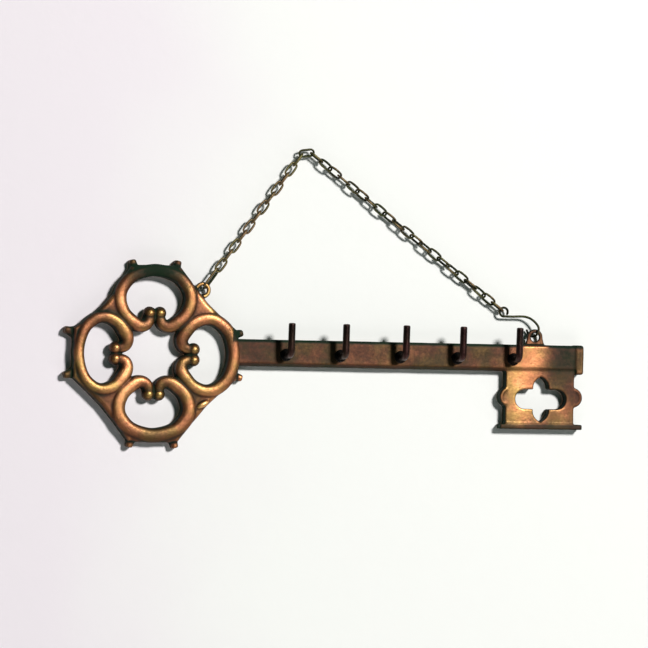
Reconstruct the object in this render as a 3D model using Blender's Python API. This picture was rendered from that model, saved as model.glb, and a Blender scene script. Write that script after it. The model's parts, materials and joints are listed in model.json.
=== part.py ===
"""Wall rack for keys, cast as an ornamental skeleton key and hung on a chain from one nail.

The origin is where the nail carries the apex link. +X runs along the key towards its bit,
+Y points at the wall and +Z is up. Driving dimensions are in millimetres and are turned
into metres where a mesh is made.
"""

import math

import bmesh
import bpy
from mathutils import Matrix, Vector

MM = 0.001
GAP = 0.3                      # clearance between pieces that touch

X_AXIS = Vector((1.0, 0.0, 0.0))
Y_AXIS = Vector((0.0, 1.0, 0.0))
Z_AXIS = Vector((0.0, 0.0, 1.0))

# Depths from the chain's own plane, y = 0
WALL_Y = 4.8                   # flat back of the casting
BOW_DEPTH = 10.0
WEB_LAYERS = [(7.0, 0.0), (8.8, 1.6)]    # depth of the bow's web, and how far inside the outline
SHANK_DEPTH = 9.0
BIT_DEPTH = 8.2
OVERCUT = 1.5                  # how far pieces run past a face before it is trimmed

# Bow: four C-scrolls round a centre
BOW_X = -89.2
BOW_Z = -120.6
LOBES = [                      # top, right, bottom, left: reach of the centreline and width there
    (48.7, 7.2), (47.4, 7.5), (47.4, 8.6), (45.1, 6.6),
]
SCROLL_SWELL_WIDTH = 8.2       # where the scroll turns in, before it curls up
SCROLL_END_WIDTH = 5.6
SCROLL_END_DROP = 1.4          # the scroll's end is this much shallower
SCROLL_CROWN = 2.9             # upright sides end this far below the front
CROWN_FULLNESS = 0.85          # 1 is an ellipse, less is squarer
VOLUTE_RADIUS = 3.8
VOLUTE_MIDDLE = 5.0            # height of the volute's middle over the back
UPPER_LEFT_TUCK = 0.955        # this diagonal was cast a little closer in
TUCK_FROM = 15.0               # only outline points this far from both axes are moved
WEB_OVERLAP = 0.3              # the web stays this far inside the scrolls' outer sides
NUB_RADIUS = 1.9
NUB_DEPTH = 6.6
NUB_STATIONS = [               # share of the way from the bow's centre to the nub, share of its width
    (0.88, 2.4), (0.97, 1.4), (1.0, 1.1), (1.03, 0.8),
]
WEB_OUTLINE = [                # one quadrant of the outer outline, from top to side
    (0.0, 52.7), (9.8, 51.6), (14.8, 50.8), (22.4, 41.0), (31.1, 30.4),
    (40.0, 22.0), (49.2, 14.4), (50.1, 9.5), (51.2, 0.0),
]
NUB_TOP = (13.3, 52.7)
NUB_SIDE = (51.2, 12.9)
# Half of a scroll's centreline in its lobe: sideways, and out from the bow's centre
SCROLL_HALF = [
    (0.0, 48.7), (12.5, 45.6), (19.4, 38.6), (21.1, 31.3), (18.6, 23.6),
    (13.4, 18.5), (8.6, 16.2), (4.9, 17.2), (3.3, 20.2), (3.1, 23.6),
]
SCROLL_STEPS = 3               # steps between those points
SWELL_AT = 5                   # the point where the scroll is widest

# Shank and bit
SHANK_START = -43.0
SHANK_END = 170.5
SHANK_TOP = -110.9
SHANK_BOTTOM = -126.7
SHANK_CHAMFER = 2.0
COLLAR_LENGTH = 4.6
COLLAR_STANDS = 0.7
BIT_LEFT = 123.3
BIT_RIGHT = 165.2
BIT_BOTTOM = -158.0
BUMP_RADIUS = 5.9
BUMP_Z = -141.8
BUMP_OUT_LEFT = 3.8
BUMP_OUT_RIGHT = 5.2
FOOT_LEFT = 120.0
FOOT_RIGHT = 170.5
FOOT_HEIGHT = 2.8
CROSS_X = 144.9
CROSS_Z = -143.0
CROSS_WIDE = 31.2
CROSS_HIGH = 26.8
CROSS_ARM_ACROSS = 11.6        # height of the horizontal arm
CROSS_ARM_UPRIGHT = 9.6        # width of the upright arm

# Lugs: cast eyes with a round rim
LUG_RIM_CENTRE = 3.7           # hole centre to the middle of the rim
LUG_RIM_THICK = 1.25           # radius of the rim's section
LEFT_LUG = (-60.8, -82.9)
RIGHT_LUG = (141.3, -106.4)
LEFT_FOOT = [(3.3, 2.8), (9.0, 6.6)]     # distance below the lug's centre, half width there
RIGHT_FOOT = [                 # half outline from the lug's centre: sideways and up
    (7.0, -6.5), (4.3, 0.6), (2.9, -1.0), (0.0, -3.3),
]
FOOT_THIN = 0.9                # the feet's half thickness, as a share of the rim's radius

# Hooks
HOOK_XS = [-10.9, 21.8, 58.2, 92.8, 127.2]     # not quite even, about 34.5 apart
HOOK_Z = -119.6
HOOK_RADIUS = 2.05
HOOK_REACH = 12.6              # shank face to the upright's axis at the elbow
HOOK_BEND = 3.6                # radius of the elbow's centreline
HOOK_TIP_Z = -101.0
HOOK_LEAN = math.radians(3)    # the upright leans away from the wall
HOOK_TIP_BEVEL = 0.4
COLLAR_RADIUS = 3.7
COLLAR_THICK = 1.1
SPIGOT_RADIUS = 1.4
TAIL_RADIUS = 2.8
TAIL_DEPTH = 1.6
TAIL_INSET = 0.2               # the peened tail lies this far inside the back face
TAIL_EDGE = 0.3

# Chain
WIRE = 0.7                     # radius of the link wire
LINK_HALF_LENGTH = 4.36        # centre of a link to the centreline of its end
LINK_HALF_WIDTH = 1.9          # centre of a link to the centreline of its side
LINK_PITCH = 2 * LINK_HALF_LENGTH - 2 * WIRE - GAP
APEX_TILT = math.radians(8)
LEFT_LINKS = 12
RIGHT_LINKS = 21
RIGHT_HALF_TURNS = 7           # the right strand is twisted by this many half turns
END_LINK_HALF_WIDTH = 2.5
END_LINK_ROLL = math.radians(31)
S_WIRE = 0.7
EYE_RADIUS = 2.6
EYE_START = -40.0              # degrees; the eye's wire starts here, behind the run that leaves it
EYE_ASIDE = 1.5                # and this far towards the wall
EYE_STEPS = 15
EYE_END = 270.0                # where the eye's wire runs off along the S
S_HOOK_LEVEL = 5.0             # how far it runs on level before it turns down
S_HOOK_RUN = [                 # the rest of its centreline, from the right lug's centre
    (-6.4, -0.7, 12.1), (-1.6, -1.5, 10.0), (1.6, -2.3, 5.9), (0.7, -2.7, 2.2), (-0.5, -1.5, 0.7),
    (-1.3, 0.3, 0.5), (-2.2, 2.0, 1.2), (-3.6, 2.6, 3.0), (-4.6, 2.2, 4.6),
]

LINK_STEPS = 14
WIRE_SIDES = 6

BRASS = ("antique_brass", (0.42, 0.25, 0.11), 0.42, 1.0)
HOOK_IRON = ("dark_bronze", (0.07, 0.05, 0.04), 0.5, 0.9)
CHAIN_BRASS = ("chain_bronze", (0.16, 0.13, 0.07), 0.45, 1.0)


def clear_scene():
    for thing in list(bpy.data.objects):
        bpy.data.objects.remove(thing)


def make_material(name, colour, roughness, metallic):
    material = bpy.data.materials.new(name)
    material.use_nodes = True
    shader = material.node_tree.nodes["Principled BSDF"]
    shader.inputs["Base Color"].default_value = (*colour, 1.0)
    shader.inputs["Roughness"].default_value = roughness
    shader.inputs["Metallic"].default_value = metallic
    return material


def add_object(name, mesh, material=None, parent=None):
    thing = bpy.data.objects.new(name, mesh)
    bpy.context.scene.collection.objects.link(thing)
    thing.parent = parent
    if material and not mesh.materials:
        mesh.materials.append(material)
    return thing


def add_pivot(name, position, parent=None):
    """An empty on a joint's axis, in millimetres from the frame's origin."""
    pivot = bpy.data.objects.new(name, None)
    bpy.context.scene.collection.objects.link(pivot)
    pivot.parent = parent
    offset = parent["place"] if parent else (0.0, 0.0, 0.0)
    pivot["place"] = tuple(position)
    pivot.location = (Vector(position) - Vector(offset)) * MM
    return pivot


def finish_mesh(name, shape, sharp_degrees=40):
    """Turn a bmesh in millimetres into a mesh in metres, facing out and shaded smooth."""
    bmesh.ops.recalc_face_normals(shape, faces=shape.faces)
    if shape.calc_volume(signed=True) < 0:
        bmesh.ops.reverse_faces(shape, faces=shape.faces)
    bmesh.ops.scale(shape, vec=(MM, MM, MM), verts=shape.verts)
    mesh = bpy.data.meshes.new(name)
    shape.to_mesh(mesh)
    shape.free()
    mesh.shade_smooth()
    mesh.set_sharp_from_angle(angle=math.radians(sharp_degrees))
    return mesh


# ---------------------------------------------------------------- curves and sweeps


def smooth_curve(points, steps):
    """Points of a Catmull-Rom curve through the given ones, with steps per span."""
    padded = [points[0] * 2 - points[1]] + points + [points[-1] * 2 - points[-2]]
    curve = []
    for i in range(1, len(padded) - 2):
        before, start, end, after = padded[i - 1:i + 3]
        for step in range(steps):
            t = step / steps
            curve.append(0.5 * (
                2 * start + (end - before) * t
                + (2 * before - 5 * start + 4 * end - after) * t ** 2
                + (3 * start - before - 3 * end + after) * t ** 3
            ))
    curve.append(points[-1])
    return curve


def sweep(path, sections, first_up, closed=False):
    """Carry flat sections along a path. Each section is a list of (sideways, up) points."""
    shape = bmesh.new()
    count = len(path)
    up = first_up
    rings = []
    for i, (here, section) in enumerate(zip(path, sections)):
        before = path[i - 1] if closed or i else here
        after = path[(i + 1) % count] if closed or i + 1 < count else here
        along = (after - before).normalized()
        up = (up - along * up.dot(along)).normalized()
        side = along.cross(up)
        rings.append([shape.verts.new(here + side * s + up * h) for s, h in section])
    corners = len(sections[0])
    for i in range(count if closed else count - 1):
        this_ring = rings[i]
        next_ring = rings[(i + 1) % count]
        for j in range(corners):
            k = (j + 1) % corners
            shape.faces.new((this_ring[j], this_ring[k], next_ring[k], next_ring[j]))
    if not closed:
        shape.faces.new(rings[0])
        shape.faces.new(reversed(rings[-1]))
    return shape


def round_section(radius, sides):
    turns = [2 * math.pi * i / sides for i in range(sides)]
    return [(radius * math.cos(a), radius * math.sin(a)) for a in turns]


def arch_section(width, depth, steps=6):
    """A bar with a flat back, upright sides and a crowned front, measured up from its back."""
    half = width / 2
    crown = min(SCROLL_CROWN, half)
    front = []
    for i in range(steps + 1):
        turn = math.pi * i / steps
        across = math.copysign(abs(math.cos(turn)) ** CROWN_FULLNESS, math.cos(turn))
        front.append((half * across, depth - crown + crown * max(math.sin(turn), 0.0) ** CROWN_FULLNESS))
    return [(half, -OVERCUT)] + front + [(-half, -OVERCUT)]


def plate(outline, front, back):
    """A flat piece: an (x, z) outline carried from its back to its front in y."""
    shape = bmesh.new()
    near = [shape.verts.new((x, front, z)) for x, z in outline]
    far = [shape.verts.new((x, back, z)) for x, z in outline]
    shape.faces.new(near)
    shape.faces.new(reversed(far))
    for i in range(len(outline)):
        k = (i + 1) % len(outline)
        shape.faces.new((near[i], far[i], far[k], near[k]))
    return shape


def sloped_plate(layers, back):
    """A flat piece with a sloping edge: a front and its (x, z) outline for each layer."""
    shape = bmesh.new()
    fronts = [(back, layers[0][1])] + layers
    rings = [[shape.verts.new((x, y, z)) for x, z in outline] for y, outline in fronts]
    shape.faces.new(reversed(rings[0]))
    shape.faces.new(rings[-1])
    for far, near in zip(rings, rings[1:]):
        for i in range(len(near)):
            k = (i + 1) % len(near)
            shape.faces.new((near[i], far[i], far[k], near[k]))
    bmesh.ops.triangulate(shape, faces=shape.faces)
    return shape


def arc(centre, radius, start, end, steps):
    """Points on an arc in the (x, z) plane, angles in degrees."""
    points = []
    for i in range(steps + 1):
        turn = math.radians(start + (end - start) * i / steps)
        points.append((centre[0] + radius * math.cos(turn), centre[1] + radius * math.sin(turn)))
    return points


# ---------------------------------------------------------------- the cast key


def scroll_centreline(reach, steps):
    """Half of a lobe's centreline, stretched so that it reaches this far from the centre."""
    low = min(v for u, v in SCROLL_HALF)
    stretch = (reach - low) / (SCROLL_HALF[0][1] - low)
    points = [Vector((u, 0.0, low + (v - low) * stretch)) for u, v in SCROLL_HALF]
    mirrored = Vector((-points[1].x, 0.0, points[1].z))
    return smooth_curve([mirrored] + points, steps)[steps:]


def scroll_section(step, last, outer_width):
    """Even round the outside, swelling where the scroll turns in, then finer at its end."""
    swell = SWELL_AT * SCROLL_STEPS
    if step <= swell:
        width = outer_width + (SCROLL_SWELL_WIDTH - outer_width) * (step / swell) ** 2
        return arch_section(width, BOW_DEPTH)
    done = (step - swell) / (last - swell)
    width = SCROLL_SWELL_WIDTH + (SCROLL_END_WIDTH - SCROLL_SWELL_WIDTH) * done
    return arch_section(width, BOW_DEPTH - SCROLL_END_DROP * done)


def lobe_shapes(reach, outer_width, turn):
    """One C-scroll and the two volutes at its ends, turned about the bow's centre."""
    half = scroll_centreline(reach, SCROLL_STEPS)
    mirrored = [Vector((-p.x, 0.0, p.z)) for p in half[1:]]
    path = list(reversed(mirrored)) + half
    middle = len(half) - 1
    sections = [scroll_section(abs(i - middle), middle, outer_width) for i in range(len(path))]
    place = Matrix.Translation((BOW_X, WALL_Y, BOW_Z)) @ Matrix.Rotation(turn, 4, "Y")
    scroll = sweep(path, sections, -Y_AXIS)
    scroll.transform(place)
    shapes = [scroll]
    for side in (-1, 1):
        end = half[-1]
        volute = bmesh.new()
        bmesh.ops.create_uvsphere(volute, u_segments=10, v_segments=6, radius=VOLUTE_RADIUS)
        stretch = Matrix.Diagonal((1.0, 1.25, 1.0, 1.0))
        volute.transform(Matrix.Translation((side * end.x, -VOLUTE_MIDDLE, end.z + 0.2)) @ stretch)
        volute.transform(place)
        shapes.append(volute)
    return shapes


def web_shape(mirror_x, mirror_z):
    """The web behind two scrolls, from the bow's sloping edge to their centrelines."""
    upright = LOBES[0 if mirror_z > 0 else 2]
    level = LOBES[1 if mirror_x > 0 else 3]
    top = scroll_centreline(upright[0], 2)[:2 * SWELL_AT + 1]
    side = scroll_centreline(level[0], 2)[:2 * SWELL_AT + 1]
    tuck = UPPER_LEFT_TUCK if mirror_x < 0 < mirror_z else 1.0
    layers = []
    for depth, inset in WEB_LAYERS:
        # Upper layers stop a little further in, so that no two faces coincide
        inside = WEB_OVERLAP + inset / 4
        most_x, most_z = (reach + width / 2 - inside for reach, width in (level, upright))
        outline = []
        for x, z in WEB_OUTLINE:
            share = (tuck if min(x, z) > TUCK_FROM else 1.0) - inset / math.hypot(x, z)
            outline.append((min(x * share, most_x), min(z * share, most_z)))
        hidden = 1.0 + inset / 200
        outline += [(p.z * hidden, p.x * hidden) for p in side]
        outline += [(p.x * hidden, p.z * hidden) for p in reversed(top)]
        placed = [(BOW_X + mirror_x * x, BOW_Z + mirror_z * z) for x, z in outline]
        layers.append((WALL_Y - depth, placed))
    return sloped_plate(layers, WALL_Y + OVERCUT)


def nub_shape(x, z):
    """A small rounded horn on the bow's outline."""
    path = [Vector((x, 0.0, z)) * reach for reach, wide in NUB_STATIONS]
    sections = [arch_section(2 * NUB_RADIUS * wide, NUB_DEPTH, 4) for reach, wide in NUB_STATIONS]
    shape = sweep(path, sections, -Y_AXIS)
    shape.transform(Matrix.Translation((BOW_X, WALL_Y, BOW_Z)))
    return shape


def shank_shapes():
    """The bar with its chamfered lower front edge, and the collar at its end."""
    front = WALL_Y - SHANK_DEPTH
    back = WALL_Y + OVERCUT
    profile = [
        (front, SHANK_TOP - 1.0), (front + 1.0, SHANK_TOP), (back, SHANK_TOP), (back, SHANK_BOTTOM),
        (front + SHANK_CHAMFER, SHANK_BOTTOM), (front, SHANK_BOTTOM + SHANK_CHAMFER),
    ]
    bar = bmesh.new()
    ends = []
    for x in (SHANK_START, SHANK_END - 0.5):
        ends.append([bar.verts.new((x, y, z)) for y, z in profile])
    bar.faces.new(ends[0])
    bar.faces.new(reversed(ends[1]))
    for i in range(len(profile)):
        k = (i + 1) % len(profile)
        bar.faces.new((ends[0][i], ends[1][i], ends[1][k], ends[0][k]))
    top = SHANK_TOP + COLLAR_STANDS * 0.4
    bottom = SHANK_BOTTOM - COLLAR_STANDS * 2
    left = SHANK_END - COLLAR_LENGTH
    corner = 1.6
    outline = [(left, bottom), (left, top)]
    outline += arc((SHANK_END - corner, top - corner), corner, 90, 0, 3)
    outline += arc((SHANK_END - corner, bottom + corner), corner, 0, -90, 3)
    collar = plate(outline, front - COLLAR_STANDS, back - 0.2)
    return [bar, collar]


def bit_shapes():
    """The bit's plate with a rounded bump on each side, and the bar along its foot."""
    front = WALL_Y - BIT_DEPTH
    left_bump = (BIT_LEFT - BUMP_OUT_LEFT + BUMP_RADIUS, BUMP_Z)
    right_bump = (BIT_RIGHT + BUMP_OUT_RIGHT - BUMP_RADIUS, BUMP_Z)
    left_angle = math.degrees(math.acos((left_bump[0] - BIT_LEFT) / BUMP_RADIUS))
    right_angle = math.degrees(math.acos((BIT_RIGHT - right_bump[0]) / BUMP_RADIUS))
    outline = [(BIT_LEFT, BIT_BOTTOM), (BIT_LEFT, BUMP_Z - BUMP_RADIUS - 1)]
    outline += arc(left_bump, BUMP_RADIUS, 180 + left_angle, 180 - left_angle, 7)
    outline += [(BIT_LEFT, SHANK_BOTTOM + 1.0), (BIT_RIGHT, SHANK_BOTTOM + 1.0)]
    outline += arc(right_bump, BUMP_RADIUS, right_angle, -right_angle, 7)
    outline += [(BIT_RIGHT, BIT_BOTTOM)]
    body = plate(outline, front, WALL_Y + OVERCUT + 0.4)
    foot = plate([
        (FOOT_LEFT, BIT_BOTTOM - FOOT_HEIGHT), (FOOT_LEFT, BIT_BOTTOM + 0.3),
        (FOOT_RIGHT, BIT_BOTTOM + 0.3), (FOOT_RIGHT, BIT_BOTTOM - FOOT_HEIGHT),
    ], front - 0.6, WALL_Y + OVERCUT + 0.7)
    return [body, foot]


def cross_cutters():
    """Two round-ended slots that cross in the bit."""
    cutters = []
    for length, arm, turn, past in (
        (CROSS_WIDE, CROSS_ARM_ACROSS, 0.0, OVERCUT), (CROSS_HIGH, CROSS_ARM_UPRIGHT, math.pi / 2, 2 * OVERCUT),
    ):
        radius = arm / 2
        straight = length / 2 - radius
        outline = arc((straight, 0), radius, -90, 90, 6) + arc((-straight, 0), radius, 90, 270, 6)
        slot = plate(outline, WALL_Y - BIT_DEPTH - past, WALL_Y + past)
        slot.transform(Matrix.Translation((CROSS_X, 0, CROSS_Z)) @ Matrix.Rotation(turn, 4, "Y"))
        cutters.append(slot)
    return cutters


def lug_ring(centre):
    """The cast eye's rim: a ring of round section in the chain's plane."""
    steps = 16
    path = []
    for i in range(steps):
        turn = 2 * math.pi * i / steps
        offset = (LUG_RIM_CENTRE * math.cos(turn), 0.0, LUG_RIM_CENTRE * math.sin(turn))
        path.append(Vector((centre[0], 0.0, centre[1])) + Vector(offset))
    return sweep(path, [round_section(LUG_RIM_THICK, 8)] * steps, Y_AXIS, closed=True)


def lug_feet():
    """Plates that carry the eyes: one on the bow's diagonal, one on top of the shank."""
    thick = LUG_RIM_THICK * FOOT_THIN
    towards = Vector((LEFT_LUG[0] - BOW_X, LEFT_LUG[1] - BOW_Z)).normalized()
    across = Vector((-towards.y, towards.x))
    lug = Vector(LEFT_LUG)
    outline = [tuple(lug - towards * below + across * half) for below, half in LEFT_FOOT]
    outline += [tuple(lug - towards * below - across * half) for below, half in reversed(LEFT_FOOT)]
    left = plate(outline, -thick, WALL_Y + OVERCUT * 0.5)
    x, z = RIGHT_LUG
    outline = [(x - aside, z + up) for aside, up in RIGHT_FOOT]
    outline += [(x + aside, z + up) for aside, up in reversed(RIGHT_FOOT[:-1])]
    return [left, plate(outline, -thick, thick)]


def rivet_cutters():
    """A clearance hole and a countersink in the back for each hook's spigot."""
    cutters = []
    hole = SPIGOT_RADIUS + GAP
    sink = TAIL_RADIUS + GAP
    profile = [
        (-SHANK_DEPTH - 2, hole), (-TAIL_INSET - TAIL_DEPTH - GAP, hole),
        (-TAIL_INSET - TAIL_EDGE - GAP, sink), (2.5, sink),
    ]
    for x in HOOK_XS:
        path = [Vector((x, WALL_Y + y, HOOK_Z)) for y, radius in profile]
        sections = [round_section(radius, 10) for y, radius in profile]
        cutters.append(sweep(path, sections, Z_AXIS))
    return cutters


def gather(name, shapes):
    """Put working shapes in their own collection, where only the casting's modifiers use them."""
    collection = bpy.data.collections.new(name)
    bpy.context.scene.collection.children.link(collection)
    for i, shape in enumerate(shapes):
        thing = bpy.data.objects.new(f"{name}_{i}", finish_mesh(f"{name}_{i}", shape))
        thing.hide_render = True
        thing.display_type = "WIRE"
        collection.objects.link(thing)
    return collection


def make_casting(material, pivot):
    """Everything that was poured in one piece: bow, shank, bit and both lugs."""
    added = []
    for index, (reach, width) in enumerate(LOBES):
        added += lobe_shapes(reach, width, index * math.pi / 2)
    for mirror_x in (-1, 1):
        for mirror_z in (-1, 1):
            added.append(web_shape(mirror_x, mirror_z))
            for x, z in (NUB_TOP, NUB_SIDE):
                added.append(nub_shape(mirror_x * x, mirror_z * z))
    bar, collar = shank_shapes()
    added += [collar] + bit_shapes()
    added += [lug_ring(LEFT_LUG), lug_ring(RIGHT_LUG)] + lug_feet()

    length = 320.0
    behind = plate([
        (-length, -length), (-length, length), (length, length), (length, -length),
    ], WALL_Y, WALL_Y + 20)
    cut = [behind] + cross_cutters() + rivet_cutters()

    casting = add_object("key_casting", finish_mesh("key_casting", bar), material)
    join = casting.modifiers.new("join", "BOOLEAN")
    join.operation = "UNION"
    join.operand_type = "COLLECTION"
    join.collection = gather("added", added)
    trim = casting.modifiers.new("trim", "BOOLEAN")
    trim.operation = "DIFFERENCE"
    trim.operand_type = "COLLECTION"
    trim.collection = gather("cut", cut)
    casting.parent = pivot
    casting.location = -Vector(pivot["place"]) * MM
    return casting


# ---------------------------------------------------------------- hooks


def hook_mesh():
    """A peened spigot, a collar and a bent rod, swept from back to tip at x = 0."""
    face = WALL_Y - SHANK_DEPTH
    back = WALL_Y - TAIL_INSET
    collar_back = face - GAP
    stations = [
        (back, TAIL_RADIUS - 0.3), (back - TAIL_EDGE, TAIL_RADIUS),
        (back - TAIL_DEPTH, SPIGOT_RADIUS), (collar_back + 0.02, SPIGOT_RADIUS),
        (collar_back, COLLAR_RADIUS), (collar_back - COLLAR_THICK * 0.5, COLLAR_RADIUS - 0.3),
        (collar_back - COLLAR_THICK, HOOK_RADIUS + 0.6), (collar_back - COLLAR_THICK - 0.4, HOOK_RADIUS),
    ]
    path = [Vector((0.0, y, HOOK_Z)) for y, radius in stations]
    radii = [radius for y, radius in stations]

    out = face - HOOK_REACH
    turn = math.pi / 2 - HOOK_LEAN
    centre = Vector((0.0, out + HOOK_BEND, HOOK_Z + HOOK_BEND))
    bend_steps = 5
    for i in range(bend_steps + 1):
        angle = turn * i / bend_steps
        offset = Vector((0.0, -math.sin(angle), -math.cos(angle))) * HOOK_BEND
        path.append(centre + offset)
        radii.append(HOOK_RADIUS)
    end = path[-1]
    upright = Vector((0.0, -math.sin(HOOK_LEAN), math.cos(HOOK_LEAN)))
    length = (HOOK_TIP_Z - end.z) / upright.z
    path += [end + upright * (length - HOOK_TIP_BEVEL), end + upright * length]
    radii += [HOOK_RADIUS, HOOK_RADIUS - HOOK_TIP_BEVEL]
    sections = [round_section(radius, 10) for radius in radii]
    return finish_mesh("hook", sweep(path, sections, X_AXIS), 50)


def make_hooks(material, pivot):
    mesh = hook_mesh()
    for number, x in enumerate(HOOK_XS, start=1):
        hook = add_object(f"hook_{number}", mesh, material, pivot)
        hook.location = (Vector((x, 0.0, 0.0)) - Vector(pivot["place"])) * MM


# ---------------------------------------------------------------- chain


def oval_mesh(name, half_length, half_width, steps):
    """A wire link lying in its own x-z plane, long along x, with nearly round ends."""
    straight = half_length - half_width
    quarter = steps // 2
    path = []
    for side in (1, -1):
        for i in range(quarter):
            turn = math.pi * (i + 0.5) / quarter - math.pi / 2
            x = side * (straight + half_width * math.cos(turn))
            path.append(Vector((x, 0.0, side * half_width * math.sin(turn))))
    return finish_mesh(name, sweep(path, [round_section(WIRE, WIRE_SIDES)] * len(path), Y_AXIS, True))


def place_link(name, mesh, material, pivot, centre, direction, roll):
    """Lay a link's own x along the strand, rolled about it from facing the wall."""
    link = add_object(name, mesh, material, pivot)
    offset = (centre - Vector(pivot["place"])) * MM
    turn = Matrix((direction, Y_AXIS, direction.cross(Y_AXIS))).transposed().to_4x4()
    link.matrix_basis = Matrix.Translation(offset) @ turn @ Matrix.Rotation(roll, 4, "X")


def strand_line(apex, side, lug):
    """Where a strand starts in one end of the apex link, and its direction to its lug."""
    lean = Vector((math.cos(APEX_TILT), 0.0, math.sin(APEX_TILT)))
    bend = apex + lean * side * (LINK_HALF_LENGTH - LINK_HALF_WIDTH)
    direction = (Vector((lug[0], 0.0, lug[1])) - bend).normalized()
    return bend + direction * (LINK_HALF_WIDTH - WIRE - GAP / 2), direction


def strand(side, count, line, pivot, mesh, material, rolls):
    """A straight run of links. Returns the centre of the next piece's near end wire."""
    start, direction = line
    for i in range(count):
        centre = start + direction * LINK_PITCH * (i + 0.5)
        name = f"{side}_link_{i + 1:02d}"
        place_link(name, mesh, material, pivot, centre, direction, rolls(i))
    return start + direction * (LINK_PITCH * count - WIRE - GAP / 2)


def s_hook_path(eye_top, direction):
    """The bent wire's centreline: an eye, a level run, a bend down and a curl round the lug."""
    eye = eye_top + direction * EYE_RADIUS
    path = []
    for i in range(EYE_STEPS + 1):
        turn = math.radians(EYE_START + (EYE_END - EYE_START) * i / EYE_STEPS)
        aside = Y_AXIS * EYE_ASIDE * max(0.0, 1 - 2 * i / EYE_STEPS)
        path.append(eye + aside + Vector((math.cos(turn), 0.0, math.sin(turn))) * EYE_RADIUS)
    lug = Vector((RIGHT_LUG[0], 0.0, RIGHT_LUG[1]))
    run = [path[-1], Vector((eye.x + S_HOOK_LEVEL, -0.2, eye.z - EYE_RADIUS))]
    run += [lug + Vector(point) for point in S_HOOK_RUN]
    return path[:-1] + smooth_curve(run, 3)


def left_roll(i):
    """Left links alternate: edge-on to the wall, then flat to it."""
    return math.radians(90 if i % 2 == 0 else 0)


def right_roll(i):
    """The right strand is twisted evenly, and both its end links stand edge-on."""
    return math.radians(90) + math.pi * RIGHT_HALF_TURNS * i / (RIGHT_LINKS - 1)


def make_left_strand(material, pivot, line):
    link = oval_mesh("left_link", LINK_HALF_LENGTH, LINK_HALF_WIDTH, LINK_STEPS)
    near = strand("left", LEFT_LINKS, line, pivot, link, material, left_roll)
    direction = line[1]
    lug = Vector((LEFT_LUG[0], 0.0, LEFT_LUG[1]))
    in_lug = lug - direction * (LUG_RIM_CENTRE - LUG_RIM_THICK - WIRE - GAP / 2)
    half_length = (in_lug - near).length / 2
    mesh = oval_mesh("end_link", half_length, END_LINK_HALF_WIDTH, LINK_STEPS + 2)
    roll = math.radians(90) + END_LINK_ROLL
    place_link("left_end_link", mesh, material, pivot, (near + in_lug) / 2, direction, roll)


def make_right_strand(material, pivot, line):
    link = oval_mesh("right_link", LINK_HALF_LENGTH, LINK_HALF_WIDTH, LINK_STEPS)
    near = strand("right", RIGHT_LINKS, line, pivot, link, material, right_roll)
    path = s_hook_path(near, line[1])
    sections = [round_section(S_WIRE, WIRE_SIDES)] * len(path)
    mesh = finish_mesh("s_hook", sweep(path, sections, Y_AXIS))
    s_hook = add_object("s_hook", mesh, material, pivot)
    s_hook.location = -Vector(pivot["place"]) * MM


def main():
    clear_scene()
    brass = make_material(*BRASS)
    iron = make_material(*HOOK_IRON)
    bronze = make_material(*CHAIN_BRASS)

    apex = Vector((0.0, 0.0, WIRE - LINK_HALF_WIDTH))
    left_line = strand_line(apex, -1, LEFT_LUG)
    right_line = strand_line(apex, 1, RIGHT_LUG)
    nail = add_pivot("nail", (0.0, 0.0, 0.0))
    left_pivot = add_pivot("left_swing", left_line[0], nail)
    right_pivot = add_pivot("right_swing", right_line[0], nail)

    apex_link = oval_mesh("nail_link", LINK_HALF_LENGTH, LINK_HALF_WIDTH, LINK_STEPS)
    lean = Vector((math.cos(APEX_TILT), 0.0, math.sin(APEX_TILT)))
    place_link("nail_link", apex_link, bronze, nail, apex, lean, 0.0)
    make_left_strand(bronze, left_pivot, left_line)
    make_right_strand(bronze, right_pivot, right_line)

    lug_hole = Vector((RIGHT_LUG[0], 0.0, RIGHT_LUG[1]))
    tilt = add_pivot("tilt", lug_hole - right_line[1] * LUG_RIM_CENTRE, right_pivot)
    make_casting(brass, tilt)
    make_hooks(iron, tilt)


main()
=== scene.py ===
"""Looks for the key-shaped wall rack that hangs on a chain.

Lengths in this file are millimetres, like the design's own, and become metres where a mesh
is made. The frame's origin is where the nail carries the apex link, -Y faces the room.
"""

import json
import math
import random

import bmesh
import bpy
import numpy as np
from mathutils import Matrix, Vector, noise

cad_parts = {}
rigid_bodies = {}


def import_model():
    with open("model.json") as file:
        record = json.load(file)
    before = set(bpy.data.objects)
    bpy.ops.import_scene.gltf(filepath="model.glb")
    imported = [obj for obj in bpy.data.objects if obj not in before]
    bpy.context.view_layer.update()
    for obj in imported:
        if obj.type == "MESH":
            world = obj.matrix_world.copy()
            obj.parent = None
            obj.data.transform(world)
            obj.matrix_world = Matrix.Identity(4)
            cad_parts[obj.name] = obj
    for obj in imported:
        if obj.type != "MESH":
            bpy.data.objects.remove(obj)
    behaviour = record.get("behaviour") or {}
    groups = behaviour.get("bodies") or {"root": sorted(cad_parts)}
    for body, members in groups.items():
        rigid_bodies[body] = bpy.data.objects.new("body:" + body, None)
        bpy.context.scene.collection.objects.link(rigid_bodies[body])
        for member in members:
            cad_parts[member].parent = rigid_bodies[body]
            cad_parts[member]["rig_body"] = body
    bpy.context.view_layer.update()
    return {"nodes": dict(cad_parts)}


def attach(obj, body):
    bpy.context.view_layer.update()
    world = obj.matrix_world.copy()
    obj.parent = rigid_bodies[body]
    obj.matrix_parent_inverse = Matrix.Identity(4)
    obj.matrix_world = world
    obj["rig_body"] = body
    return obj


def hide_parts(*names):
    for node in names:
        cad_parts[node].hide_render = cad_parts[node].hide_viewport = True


MM = 0.001

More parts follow.
